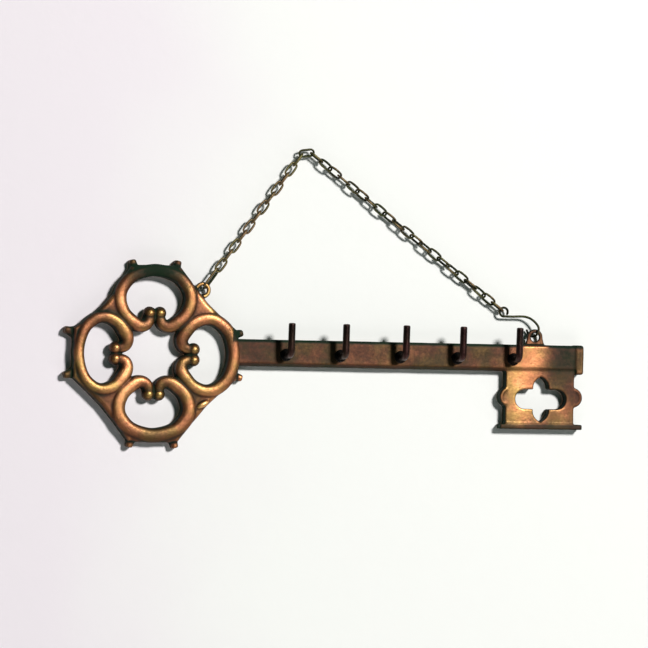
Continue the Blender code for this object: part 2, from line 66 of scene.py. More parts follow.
X_AXIS = Vector((1.0, 0.0, 0.0))
Y_AXIS = Vector((0.0, 1.0, 0.0))
Z_AXIS = Vector((0.0, 0.0, 1.0))

# ---- the design's driving dimensions, repeated from the CAD
WALL_Y = 4.8                   # flat back of the casting
BOW_DEPTH = 10.0
WEB_LAYERS = [(7.0, 0.0), (8.2, 0.8), (8.8, 2.0)]
SHANK_DEPTH = 9.0
BIT_DEPTH = 8.2

BOW_X = -89.2
BOW_Z = -120.6
LOBES = [(48.7, 7.2), (47.4, 7.5), (47.4, 8.6), (45.1, 6.6)]
SCROLL_SWELL_WIDTH = 8.2
SCROLL_END_WIDTH = 5.6
SCROLL_END_DROP = 1.4
SCROLL_CROWN = 2.9
VOLUTE_RADIUS = 3.8
VOLUTE_MIDDLE = 5.0
VOLUTE_LIFT = 0.2
VOLUTE_STRETCH = (1.0, 1.25, 1.0)
UPPER_LEFT_TUCK = 0.955
TUCK_FROM = 15.0
CROWN_FULLNESS = 0.85
WEB_OUTLINE = [
    (0.0, 52.7), (9.8, 51.6), (14.8, 50.8), (22.4, 41.0), (31.1, 30.4),
    (40.0, 22.0), (49.2, 14.4), (50.1, 9.5), (51.2, 0.0),
]
WEB_UNDER_RIM = 0.3            # the web stays this far inside a scroll's outer edge
WEB_RIM_SLOPE = 4              # the rim moves in by this part of a layer's inset
WEB_HIDDEN_SLOPE = 200         # and the edge hidden in the scroll moves out by this part
NUB_TOP = (13.3, 52.7)
NUB_SIDE = (51.2, 12.9)
NUB_RADIUS = 1.9
NUB_DEPTH = 6.6
NUB_STATIONS = [                # how far out, as a share, and how wide
    (0.88, 2.4), (0.93, 1.8), (0.97, 1.3), (1.0, 1.15), (1.02, 1.1), (1.035, 0.8),
]
LEAF_PLACE = (29.0, -28.8)     # from the bow's centre
LEAF_STANDS = 0.2
LEAF_TURN = math.radians(-28)
LEAF_HALF_SIZES = (4.2, 1.9, 1.9)
SCROLL_HALF = [
    (0.0, 48.7), (12.5, 45.6), (19.4, 38.6), (21.1, 31.3), (18.6, 23.6),
    (13.4, 18.5), (8.6, 16.2), (4.9, 17.2), (3.3, 20.2), (3.1, 23.6),
]
SWELL_AT = 5

SHANK_START = -43.0
SHANK_END = 170.5
SHANK_TOP = -110.9
SHANK_BOTTOM = -126.7
SHANK_CHAMFER = 2.0
SHANK_EDGE = 1.0
COLLAR_CORNER = 1.6
COLLAR_LENGTH = 4.6
COLLAR_STANDS = 0.7
BIT_LEFT = 123.3
BIT_RIGHT = 165.2
BIT_BOTTOM = -158.0
BUMP_RADIUS = 5.9
BUMP_Z = -141.8
BUMP_OUT_LEFT = 3.8
BUMP_OUT_RIGHT = 5.2
BEAD_INSET = 1.1
BEAD_RADIUS = 0.55
BEAD_SPAN = 130                # degrees
FOOT_LEFT = 120.0
FOOT_RIGHT = 170.5
FOOT_HEIGHT = 2.8
FOOT_STANDS = 0.6
FOOT_OVERLAP = 0.3
CROSS_X = 144.9
CROSS_Z = -143.0
CROSS_WIDE = 31.2
CROSS_HIGH = 26.8
CROSS_ARM_ACROSS = 11.6
CROSS_ARM_UPRIGHT = 9.6

LUG_RIM_CENTRE = 3.7
LUG_RIM_THICK = 1.25
LUG_FOOT_SHARE = 0.9           # a lug's foot is this much of the rim's thickness
LEFT_FOOT = [(LUG_RIM_CENTRE - 0.4, 2.8), (5.0, 3.6), (7.0, 5.4), (9.0, 6.8)]
LEFT_LUG = (-60.8, -82.9)
RIGHT_LUG = (141.3, -106.4)

HOOK_XS = [-10.9, 21.8, 58.2, 92.8, 127.2]
HOOK_Z = -119.6
HOOK_RADIUS = 2.05
HOOK_REACH = 12.6
HOOK_BEND = 3.6
HOOK_TIP_Z = -101.0
HOOK_LEAN = math.radians(3)
COLLAR_RADIUS = 3.7
COLLAR_THICK = 1.1
COLLAR_LIP = 0.35
HOOK_TIP = [(0.55, 0.05), (0.28, 0.22), (0.08, 0.55), (0.0, 1.0)]    # short of the end, thinner by
HOOK_TIP_START = 0.9
SPIGOT_RADIUS = 1.4
TAIL_RADIUS = 2.8
TAIL_DEPTH = 1.6
TAIL_INSET = 0.2
GAP = 0.3

WIRE = 0.7
BEARING_WEAR = 0.89            # share of a link's wire left where its neighbours bear on it
EYE_RADIUS = 2.6
EYE_START = -40.0
EYE_END = 270.0
EYE_ASIDE = 1.5
EYE_STEPS = 45
S_HOOK_LEVEL = (5.0, -0.2)     # a point of the level run: along from the eye, and y
S_HOOK_RUN = [                 # the rest of the run, from the right lug's centre
    (-6.4, -0.7, 12.1), (-1.6, -1.5, 10.0), (1.6, -2.3, 5.9), (0.7, -2.7, 2.2), (-0.5, -1.5, 0.7),
    (-1.3, 0.3, 0.5), (-2.2, 2.0, 1.2), (-3.6, 2.6, 3.0), (-4.6, 2.2, 4.6),
]
S_HOOK_ENDS = (0.45, 0.8, 0.95)
LEFT_LINKS = 12
RIGHT_LINKS = 21
LINK_HALF_LENGTH = 4.36
LINK_HALF_WIDTH = 1.9
LINK_BULGE = (0.10, 0.20)      # how far a link's sides bow outward
UNBOWED_LINKS = ("nail_link", "left_end_link")
LINK_BUTT = (0.80, 0.97)       # the wire's share at the butted joint and beside it
APEX_TILT = math.radians(8)
LINK_PITCH = 2 * LINK_HALF_LENGTH - 2 * WIRE - GAP

# ---- how finely the visible meshes are made
VOXEL = 0.45
SCROLL_STEPS = 10              # steps between the points of a scroll's centreline
RIDGE_ROUNDS = 30              # rounds of averaging that a ridge is measured against


def add_object(name, mesh, material=None):
    thing = bpy.data.objects.new(name, mesh)
    bpy.context.scene.collection.objects.link(thing)
    if material:
        mesh.materials.clear()
        mesh.materials.append(material)
    return thing


def finish_mesh(name, shape, sharp_degrees=60):
    """Turn a bmesh in millimetres into a mesh in metres, facing out and shaded smooth."""
    bmesh.ops.recalc_face_normals(shape, faces=shape.faces)
    if shape.calc_volume(signed=True) < 0:
        bmesh.ops.reverse_faces(shape, faces=shape.faces)
    bmesh.ops.scale(shape, vec=(MM, MM, MM), verts=shape.verts)
    mesh = bpy.data.meshes.new(name)
    shape.to_mesh(mesh)
    shape.free()
    mesh.shade_smooth()
    mesh.set_sharp_from_angle(angle=math.radians(sharp_degrees))
    return mesh


# ---------------------------------------------------------------- curves and sweeps


def smooth_curve(points, steps):
    """Points of a Catmull-Rom curve through the given ones, with steps per span."""
    padded = [points[0] * 2 - points[1]] + points + [points[-1] * 2 - points[-2]]
    curve = []
    for i in range(1, len(padded) - 2):
        before, start, end, after = padded[i - 1:i + 3]
        for step in range(steps):
            t = step / steps
            curve.append(0.5 * (
                2 * start + (end - before) * t
                + (2 * before - 5 * start + 4 * end - after) * t ** 2
                + (3 * start - before - 3 * end + after) * t ** 3
            ))
    curve.append(points[-1])
    return curve


def sweep(path, sections, first_up, closed=False):
    """Carry flat sections along a path. Each section is a list of (sideways, up) points."""
    shape = bmesh.new()
    count = len(path)
    up = first_up
    rings = []
    for i, (here, section) in enumerate(zip(path, sections)):
        before = path[i - 1] if closed or i else here
        after = path[(i + 1) % count] if closed or i + 1 < count else here
        along = (after - before).normalized()
        up = (up - along * up.dot(along)).normalized()
        side = along.cross(up)
        rings.append([shape.verts.new(here + side * s + up * h) for s, h in section])
    corners = len(sections[0])
    for i in range(count if closed else count - 1):
        this_ring = rings[i]
        next_ring = rings[(i + 1) % count]
        for j in range(corners):
            k = (j + 1) % corners
            shape.faces.new((this_ring[j], this_ring[k], next_ring[k], next_ring[j]))
    if not closed:
        shape.faces.new(rings[0])
        shape.faces.new(reversed(rings[-1]))
    return shape


def round_section(radius, sides):
    turns = [2 * math.pi * i / sides for i in range(sides)]
    return [(radius * math.cos(a), radius * math.sin(a)) for a in turns]


def arch_section(width, depth, steps=16):
    """A bar with a flat back, upright sides and a crowned front, measured up from its back."""
    half = width / 2
    crown = min(SCROLL_CROWN, half)
    front = []
    for i in range(steps + 1):
        turn = math.pi * i / steps
        across = math.copysign(abs(math.cos(turn)) ** CROWN_FULLNESS, math.cos(turn))
        rise = max(math.sin(turn), 0.0) ** CROWN_FULLNESS
        front.append((half * across, depth - crown + crown * rise))
    return [(half, 0.0)] + front + [(-half, 0.0)]


def plate(outline, front, back):
    """A flat piece: an (x, z) outline carried from its back to its front in y."""
    shape = bmesh.new()
    near = [shape.verts.new((x, front, z)) for x, z in outline]
    far = [shape.verts.new((x, back, z)) for x, z in outline]
    shape.faces.new(near)
    shape.faces.new(reversed(far))
    for i in range(len(outline)):
        k = (i + 1) % len(outline)
        shape.faces.new((near[i], far[i], far[k], near[k]))
    return shape


def sloped_plate(layers, back):
    """A flat piece with a sloping edge: a front and its (x, z) outline for each layer."""
    shape = bmesh.new()
    fronts = [(back, layers[0][1])] + layers
    rings = [[shape.verts.new((x, y, z)) for x, z in outline] for y, outline in fronts]
    shape.faces.new(reversed(rings[0]))
    shape.faces.new(rings[-1])
    for far, near in zip(rings, rings[1:]):
        for i in range(len(near)):
            k = (i + 1) % len(near)
            shape.faces.new((near[i], far[i], far[k], near[k]))
    bmesh.ops.triangulate(shape, faces=shape.faces)
    return shape


def arc(centre, radius, start, end, steps):
    """Points on an arc in the (x, z) plane, angles in degrees."""
    points = []
    for i in range(steps + 1):
        turn = math.radians(start + (end - start) * i / steps)
        points.append((centre[0] + radius * math.cos(turn), centre[1] + radius * math.sin(turn)))
    return points


def ball(centre, stretch, radius):
    shape = bmesh.new()
    bmesh.ops.create_uvsphere(shape, u_segments=32, v_segments=20, radius=radius)
    shape.transform(Matrix.Translation(centre) @ Matrix.Diagonal((*stretch, 1.0)))
    return shape


# ---------------------------------------------------------------- the bow


def scroll_centreline(reach, steps):
    """Half of a lobe's centreline, stretched so that it reaches this far from the centre."""
    low = min(v for u, v in SCROLL_HALF)
    stretch = (reach - low) / (SCROLL_HALF[0][1] - low)
    points = [Vector((u, 0.0, low + (v - low) * stretch)) for u, v in SCROLL_HALF]
    mirrored = Vector((-points[1].x, 0.0, points[1].z))
    return smooth_curve([mirrored] + points, steps)[steps:]


def scroll_section(step, last, outer_width):
    """Even round the outside, swelling where the scroll turns in, then finer at its end."""
    swell = SWELL_AT * SCROLL_STEPS
    if step <= swell:
        width = outer_width + (SCROLL_SWELL_WIDTH - outer_width) * (step / swell) ** 2
        return arch_section(width, BOW_DEPTH)
    done = (step - swell) / (last - swell)
    width = SCROLL_SWELL_WIDTH + (SCROLL_END_WIDTH - SCROLL_SWELL_WIDTH) * done
    return arch_section(width, BOW_DEPTH - SCROLL_END_DROP * done)


def lobe_shapes(reach, outer_width, turn):
    """One C-scroll and the two volutes at its ends, turned about the bow's centre."""
    half = scroll_centreline(reach, SCROLL_STEPS)
    mirrored = [Vector((-p.x, 0.0, p.z)) for p in half[1:]]
    path = list(reversed(mirrored)) + half
    middle = len(half) - 1
    sections = [scroll_section(abs(i - middle), middle, outer_width) for i in range(len(path))]
    shapes = [sweep(path, sections, -Y_AXIS)]
    end = half[-1]
    for side in (-1, 1):
        place = Vector((side * end.x, -VOLUTE_MIDDLE, end.z + VOLUTE_LIFT))
        shapes.append(ball(place, VOLUTE_STRETCH, VOLUTE_RADIUS))
    placing = Matrix.Translation((BOW_X, WALL_Y, BOW_Z)) @ Matrix.Rotation(turn, 4, "Y")
    for shape in shapes:
        shape.transform(placing)
    return shapes


def web_shape(mirror_x, mirror_z):
    """The web behind two scrolls, from the bow's sloping edge to their centrelines."""
    upright = LOBES[0 if mirror_z > 0 else 2]
    level = LOBES[1 if mirror_x > 0 else 3]
    top = scroll_centreline(upright[0], 4)[:4 * SWELL_AT + 1]
    side = scroll_centreline(level[0], 4)[:4 * SWELL_AT + 1]
    tuck = UPPER_LEFT_TUCK if mirror_x < 0 < mirror_z else 1.0
    layers = []
    for depth, inset in WEB_LAYERS:
        most_x, most_z = (
            reach + width / 2 - WEB_UNDER_RIM - inset / WEB_RIM_SLOPE for reach, width in (level, upright)
        )
        outline = []
        for x, z in WEB_OUTLINE:
            share = (tuck if min(x, z) > TUCK_FROM else 1.0) - inset / math.hypot(x, z)
            outline.append((min(x * share, most_x), min(z * share, most_z)))
        hidden = 1.0 + inset / WEB_HIDDEN_SLOPE
        outline += [(p.z * hidden, p.x * hidden) for p in side]
        outline += [(p.x * hidden, p.z * hidden) for p in reversed(top)]
        placed = [(BOW_X + mirror_x * x, BOW_Z + mirror_z * z) for x, z in outline]
        layers.append((WALL_Y - depth, placed))
    return sloped_plate(layers, WALL_Y)


def nub_shape(x, z):
    """A small rounded horn on the bow's outline, fading into the web."""
    path = [Vector((x, 0.0, z)) * reach for reach, wide in NUB_STATIONS]
    sections = [arch_section(2 * NUB_RADIUS * wide, NUB_DEPTH, 10) for reach, wide in NUB_STATIONS]
    shape = sweep(path, sections, -Y_AXIS)
    shape.transform(Matrix.Translation((BOW_X, WALL_Y, BOW_Z)))
    return shape


def lug_ring(centre):
    """The cast eye's rim: a ring of round section in the chain's plane."""
    steps = 48
    path = []
    for i in range(steps):
        turn = 2 * math.pi * i / steps
        offset = (LUG_RIM_CENTRE * math.cos(turn), 0.0, LUG_RIM_CENTRE * math.sin(turn))
        path.append(Vector((centre[0], 0.0, centre[1])) + Vector(offset))
    return sweep(path, [round_section(LUG_RIM_THICK, 16)] * steps, Y_AXIS, closed=True)


def left_lug_foot():
    """The plate that carries the left eye, flaring onto the bow's diagonal."""
    towards = Vector((LEFT_LUG[0] - BOW_X, LEFT_LUG[1] - BOW_Z)).normalized()
    across = Vector((-towards.y, towards.x))
    lug = Vector(LEFT_LUG)
    outline = [tuple(lug - towards * back + across * half) for back, half in LEFT_FOOT]
    outline += [tuple(lug - towards * back - across * half) for back, half in reversed(LEFT_FOOT)]
    return plate(outline, -LUG_FOOT_SHARE * LUG_RIM_THICK, WALL_Y)


def leaf_shape():
    """A small leaf cast where the two lower right scrolls part."""
    along, up = LEAF_PLACE
    middle = Vector((BOW_X + along, WALL_Y - WEB_LAYERS[-1][0] + LEAF_STANDS, BOW_Z + up))
    shape = bmesh.new()
    bmesh.ops.create_uvsphere(shape, u_segments=32, v_segments=20, radius=1.0)
    turn = Matrix.Rotation(LEAF_TURN, 4, "Y")
    shape.transform(Matrix.Translation(middle) @ turn @ Matrix.Diagonal((*LEAF_HALF_SIZES, 1.0)))
    return shape


def bow_shapes():
    shapes = []
    for index, (reach, width) in enumerate(LOBES):
        shapes += lobe_shapes(reach, width, index * math.pi / 2)
    for mirror_x in (-1, 1):
        for mirror_z in (-1, 1):
            shapes.append(web_shape(mirror_x, mirror_z))
            for x, z in (NUB_TOP, NUB_SIDE):
                shapes.append(nub_shape(mirror_x * x, mirror_z * z))
    return shapes + [lug_ring(LEFT_LUG), left_lug_foot(), leaf_shape()]


# ---------------------------------------------------------------- shank and bit


def shank_shapes():
    """The bar with its chamfered lower front edge, and the collar at its end."""
    front = WALL_Y - SHANK_DEPTH
    profile = [
        (front, SHANK_TOP - SHANK_EDGE), (front + SHANK_EDGE, SHANK_TOP),
        (WALL_Y, SHANK_TOP), (WALL_Y, SHANK_BOTTOM),
        (front + SHANK_CHAMFER, SHANK_BOTTOM), (front, SHANK_BOTTOM + SHANK_CHAMFER),
    ]
    bar = bmesh.new()
    ends = []
    for x in (SHANK_START, SHANK_END - 0.5):
        ends.append([bar.verts.new((x, y, z)) for y, z in profile])
    bar.faces.new(ends[0])
    bar.faces.new(reversed(ends[1]))
    for i in range(len(profile)):
        k = (i + 1) % len(profile)
        bar.faces.new((ends[0][i], ends[1][i], ends[1][k], ends[0][k]))
    top = SHANK_TOP + COLLAR_STANDS * 0.4
    bottom = SHANK_BOTTOM - COLLAR_STANDS * 2
    left = SHANK_END - COLLAR_LENGTH
    right = SHANK_END - COLLAR_CORNER
    outline = [(left, bottom), (left, top)]
    outline += arc((right, top - COLLAR_CORNER), COLLAR_CORNER, 90, 0, 8)
    outline += arc((right, bottom + COLLAR_CORNER), COLLAR_CORNER, 0, -90, 8)
    return [bar, plate(outline, front - COLLAR_STANDS, WALL_Y - 0.2)]


def bit_shapes():
    """The bit's plate with a rounded bump on each side, and the bar along its foot."""
    front = WALL_Y - BIT_DEPTH
    left_bump = (BIT_LEFT - BUMP_OUT_LEFT + BUMP_RADIUS, BUMP_Z)
    right_bump = (BIT_RIGHT + BUMP_OUT_RIGHT - BUMP_RADIUS, BUMP_Z)
    left_angle = math.degrees(math.acos((left_bump[0] - BIT_LEFT) / BUMP_RADIUS))
    right_angle = math.degrees(math.acos((BIT_RIGHT - right_bump[0]) / BUMP_RADIUS))
    outline = [(BIT_LEFT, BIT_BOTTOM)]
    outline += arc(left_bump, BUMP_RADIUS, 180 + left_angle, 180 - left_angle, 24)
    outline += [(BIT_LEFT, SHANK_BOTTOM + 1.0), (BIT_RIGHT, SHANK_BOTTOM + 1.0)]
    outline += arc(right_bump, BUMP_RADIUS, right_angle, -right_angle, 24)
    outline += [(BIT_RIGHT, BIT_BOTTOM)]
    body = plate(outline, front, WALL_Y)
    foot = plate([
        (FOOT_LEFT, BIT_BOTTOM - FOOT_HEIGHT), (FOOT_LEFT, BIT_BOTTOM + FOOT_OVERLAP),
        (FOOT_RIGHT, BIT_BOTTOM + FOOT_OVERLAP), (FOOT_RIGHT, BIT_BOTTOM - FOOT_HEIGHT),
    ], front - FOOT_STANDS, WALL_Y)
    beads = []
    for (x, z), start in ((left_bump, 115), (right_bump, -65)):
        curve = arc((x, z), BUMP_RADIUS - BEAD_INSET, start, start + BEAD_SPAN, 24)
        path = [Vector((px, front - 0.05, pz)) for px, pz in curve]
        beads.append(sweep(path, [round_section(BEAD_RADIUS, 10)] * len(path), Y_AXIS))
    return [body, foot] + beads


def right_lug_foot():
    """The flared foot that carries the right eye, running down onto the shank's face."""
    thick = LUG_RIM_THICK * LUG_FOOT_SHARE
    x, z = RIGHT_LUG
    base = SHANK_TOP - 2.0
    half = smooth_curve([
        Vector((7.0, 0.0, base)), Vector((5.6, 0.0, base + 2.6)),
        Vector((LUG_RIM_CENTRE + 0.6, 0.0, z + 0.6)), Vector((LUG_RIM_CENTRE - 0.8, 0.0, z - 1.0)),
        Vector((0.0, 0.0, z - LUG_RIM_CENTRE + 0.4)),
    ], 5)
    outline = [(x + p.x, p.z) for p in half] + [(x - p.x, p.z) for p in reversed(half[:-1])]
    return plate(outline, -thick, thick)


def cross_cutters():
    """A slot across with round ends, and an upright one whose ends come to ogee points."""
    radius = CROSS_ARM_ACROSS / 2
    straight = CROSS_WIDE / 2 - radius
    across = arc((straight, 0), radius, -90, 90, 20) + arc((-straight, 0), radius, 90, 270, 20)
    half_width = CROSS_ARM_UPRIGHT / 2
    half_height = CROSS_HIGH / 2
    quarter = smooth_curve([
        Vector((half_width, 0.0, 0.0)), Vector((half_width, 0.0, half_height * 0.5)),
        Vector((half_width * 0.86, 0.0, half_height * 0.72)),
        Vector((half_width * 0.45, 0.0, half_height * 0.9)),
        Vector((0.0, 0.0, half_height)),
    ], 6)
    right = [(p.x, p.z) for p in quarter]
    upright = right + [(-x, z) for x, z in reversed(right[:-1])]
    upright += [(-x, -z) for x, z in right[1:]] + [(x, -z) for x, z in reversed(right[1:-1])]
    cutters = []
    for outline, past in ((across, 1.0), (upright, 1.6)):
        slot = plate(outline, WALL_Y - BIT_DEPTH - 1 - past, WALL_Y + past)
        slot.transform(Matrix.Translation((CROSS_X, 0, CROSS_Z)))
        cutters.append(slot)
    return cutters


def rivet_cutters():
    """A countersink in the back for each hook's peened tail."""
    cutters = []
    hole = SPIGOT_RADIUS + GAP
    sink = TAIL_RADIUS + GAP
    profile = [
        (-SHANK_DEPTH - 2, hole), (-TAIL_INSET - TAIL_DEPTH - GAP, hole), (-0.8, sink), (2.5, sink),
    ]
    for x in HOOK_XS:
        path = [Vector((x, WALL_Y + y, HOOK_Z)) for y, radius in profile]
        sections = [round_section(radius, 32) for y, radius in profile]
        cutters.append(sweep(path, sections, Z_AXIS))
    return cutters


# ---------------------------------------------------------------- casting the solids


def joined(name, shapes):
    """All these closed shells in one mesh."""
    whole = bmesh.new()
    for i, shape in enumerate(shapes):
        part = finish_mesh(f"{name}_{i}", shape)
        whole.from_mesh(part)
        bpy.data.meshes.remove(part)
    mesh = bpy.data.meshes.new(name)
    whole.to_mesh(mesh)
    whole.free()
    return mesh


def add_remesh(thing):
    remesh = thing.modifiers.new("skin", "REMESH")
    remesh.mode = "VOXEL"
    remesh.voxel_size = VOXEL * MM
    remesh.adaptivity = 0.0


def cast_mesh(name, shapes, cutters=()):
    """One continuous skin over overlapping shells, with the cutters' holes and soft cast edges."""
    rough = add_object(name + "_shells", joined(name + "_shells", shapes))
    add_remesh(rough)
    if cutters:
        tool = add_object(name + "_cutters", joined(name + "_cutters", cutters))
        cut = rough.modifiers.new("cut", "BOOLEAN")
        cut.operation = "DIFFERENCE"
        cut.object = tool
        cut.solver = "EXACT"
        cut.use_self = True
        add_remesh(rough)
    smooth = rough.modifiers.new("soften", "SMOOTH")
    smooth.factor = 0.5
    smooth.iterations = 5
    graph = bpy.context.evaluated_depsgraph_get()
    mesh = bpy.data.meshes.new_from_object(rough.evaluated_get(graph), depsgraph=graph)
    mesh.name = name
    bpy.data.objects.remove(rough)
    if cutters:
        bpy.data.objects.remove(tool)
    mesh.shade_smooth()
    return mesh


def positions_of(mesh):
    flat = np.empty(len(mesh.vertices) * 3)
    mesh.vertices.foreach_get("co", flat)
    return flat.reshape(-1, 3) / MM


def set_positions(mesh, places):
    mesh.vertices.foreach_set("co", (places * MM).ravel())
    mesh.update()


def normals_of(mesh):
    flat = np.empty(len(mesh.vertices) * 3)
    mesh.vertex_normals.foreach_get("vector", flat)
    return flat.reshape(-1, 3)


def averaged(values, edges, rounds):
    """Values spread to their neighbours along the edges, again and again."""
    count = len(values)
    a, b = edges[:, 0], edges[:, 1]
    share = 1.0 / np.maximum(np.bincount(a, minlength=count) + np.bincount(b, minlength=count), 1)
    for _ in range(rounds):
        spread = np.empty_like(values)
        for axis in range(values.shape[1]):
            column = values[:, axis]
            spread[:, axis] = (
                np.bincount(a, column[b], count) + np.bincount(b, column[a], count)
            ) * share
        values = 0.5 * values + 0.5 * spread
    return values


def noise_at(places, size, seed):
    """Smooth noise between about -1 and 1, with lumps of this size."""
    shift = Vector((seed * 17.3, seed * 5.1, seed * 9.7))
    return np.array([noise.noise(Vector(p) / size + shift) for p in places])


def ramp(values, low, high):
    """0 below low, 1 above high and smooth between."""
    t = np.clip((values - low) / (high - low), 0.0, 1.0)
    return t * t * (3 - 2 * t)


def store(mesh, name, values):
    layer = mesh.attributes.new(name, "FLOAT", "POINT")
    layer.data.foreach_set("value", values.astype(np.float32))


# Brighter spots on the front, partly rubbed metal and partly painted highlights where the lamp's glints fall
# on the scrolls and the bit: x, z, radius, amount
RUBBED_AND_HIGHLIGHT_SPOTS = [
    (BOW_X + 29.0, BOW_Z + 31.0, 11.0, 0.30),      # under the left eye
    (BOW_X + 33.0, BOW_Z - 30.0, 12.0, 0.22),      # lower right scrolls
    (BOW_X - 15.0, BOW_Z - 12.0, 9.0, 0.20),       # inner ends of the scrolls
    (BOW_X - 22.0, BOW_Z - 26.0, 11.0, 0.22),
    (BOW_X - 22.0, BOW_Z + 31.0, 7.0, 0.34),
    (BOW_X - 45.0, BOW_Z - 4.0, 9.0, 0.20),
    (BOW_X + 47.0, BOW_Z - 2.0, 10.0, 0.16),
    (BOW_X - 15.0, BOW_Z + 12.0, 9.0, 0.10),
    # painted highlight: the lamp's broad glint on the bit's flat face, brightest at its upper left
    (CROSS_X - 14.0, BUMP_Z + 8.0, 11.0, 0.38),    # the bit's upper left
    (CROSS_X - 13.0, BIT_BOTTOM + 6.0, 9.0, 0.34),
    (CROSS_X + 12.0, BIT_BOTTOM + 6.0, 9.0, 0.18),
    (RIGHT_LUG[0] - 3.0, SHANK_TOP - 7.5, 9.5, 0.36),
    (52.0, SHANK_TOP - 8.0, 14.0, 0.05),
]
# Darker spots on the front: tarnish, and painted shade on the bow's left side and lower left, which face
# away from the lamp
TARNISH_AND_SHADE_SPOTS = [
    (BOW_X, BOW_Z + 52.0, 19.0, 0.52),             # top of the bow
    (BOW_X - 38.0, BOW_Z + 34.0, 13.0, 0.36),
    (RIGHT_LUG[0], RIGHT_LUG[1] + 1.0, 4.5, 0.16),
    (LEFT_LUG[0], LEFT_LUG[1], 5.0, 0.20),
    # painted shade: the bow's left horns, left edge and lower left
    (BOW_X - 51.0, BOW_Z + 13.0, 5.0, 0.32),
    (BOW_X - 51.0, BOW_Z - 13.0, 5.0, 0.26),
    (BOW_X - 56.0, BOW_Z, 9.0, 0.25),
    (BOW_X - 36.0, BOW_Z - 34.0, 10.0, 0.30),
    (BOW_X, BOW_Z - 53.0, 12.0, 0.15),
    (-36.0, SHANK_TOP - 8.0, 18.0, 0.10),          # shank beside the bow
    (159.0, SHANK_TOP - 7.0, 9.0, 0.17),           # end of the shank
]


# How worn a point is, with painted highlights and painted shade mixed in: a base, and what each kind of
# place adds to it or takes away
BASE_WEAR = 0.06
FRONT_WEAR_AND_FLANK_SHADE = 0.33             # faces turned to the room are brighter; the flanks left dark are partly tarnish, partly painted shade
CREST_WEAR = 0.10              # the highest crests
UPWARD_DARKENING = 0.10                # faces turned up are darker
FOOT_PAINTED_SHADE = 0.20
SHANK_TOP_PAINTED_SHADE = 0.35
BACK_WEAR = 0.42               # the whole flat back
RIDGE_RANGE = (-0.10, 0.25)    # mm below and above the surface around it
SKIN_COARSE = (0.10, 7.0)      # depth and size of the skin's lumps
SKIN_FINE = (0.02, 1.6)
BOW_RIDGES = 1.4
SHANK_RIDGES = 0.35


def spots(places, table):
    """Soft round spots on the front, added up."""
    total = np.zeros(len(places))
    for x, z, radius, amount in table:
        far = np.hypot(places[:, 0] - x, places[:, 2] - z) / radius
        total += amount * np.exp(-far ** 2)
    return total


def weather_casting(mesh, ridges_shine):
    """Flatten the back, roughen the skin and work out how worn each point of it is, with painted highlights
    and painted shade added in.
    """
    places = positions_of(mesh)
    places[:, 1] = np.minimum(places[:, 1], WALL_Y)
    set_positions(mesh, places)
    normals = normals_of(mesh)
    edges = np.empty(len(mesh.edges) * 2, int)
    mesh.edges.foreach_get("vertices", edges)
    even = averaged(places, edges.reshape(-1, 2), RIDGE_ROUNDS)
    ridge = np.einsum("ij,ij->i", places - even, normals)

    coarse, fine = SKIN_COARSE, SKIN_FINE
    skin = coarse[0] * noise_at(places, coarse[1], 1) + fine[0] * noise_at(places, fine[1], 2)
    back = places[:, 1] > WALL_Y - 0.05
    skin[back] = np.minimum(skin[back], 0.0) * 0.5
    set_positions(mesh, places + normals * skin[:, None])

    facing = -normals[:, 1]
    height = (WALL_Y - places[:, 1]) / BOW_DEPTH
    wear_and_painted_light = BASE_WEAR + FRONT_WEAR_AND_FLANK_SHADE * ramp(facing, 0.25, 0.97)
    wear_and_painted_light += CREST_WEAR * ramp(height, 0.90, 1.0) + ridges_shine * np.clip(ridge, *RIDGE_RANGE)
    wear_and_painted_light -= UPWARD_DARKENING * ramp(normals[:, 2], 0.25, 0.9)
    front = ramp(facing, 0.2, 0.7)
    wear_and_painted_light += front * (spots(places, RUBBED_AND_HIGHLIGHT_SPOTS) - spots(places, TARNISH_AND_SHADE_SPOTS))
    on_shank = places[:, 0] > SHANK_START
    # painted shade: the foot bar along the bit's bottom is darkened
    foot = ramp(BIT_BOTTOM + 0.6 - places[:, 2], 0.0, 0.8) * on_shank
    wear_and_painted_light -= FOOT_PAINTED_SHADE * foot
    # painted shade along the shank's top edge, which takes the lamp's light off its top chamfer
    shank_top = ramp(places[:, 2], SHANK_TOP - 2.4, SHANK_TOP - 0.6) * on_shank
    beside_lug = ramp(np.abs(places[:, 0] - RIGHT_LUG[0]), 6.0, 9.0)
    wear_and_painted_light -= SHANK_TOP_PAINTED_SHADE * shank_top * beside_lug
    wear_and_painted_light[facing < -0.5] = BACK_WEAR
    store(mesh, "wear_and_painted_light", np.clip(wear_and_painted_light, 0.0, 1.0))
    return mesh


# ---------------------------------------------------------------- hooks, links and the S-hook


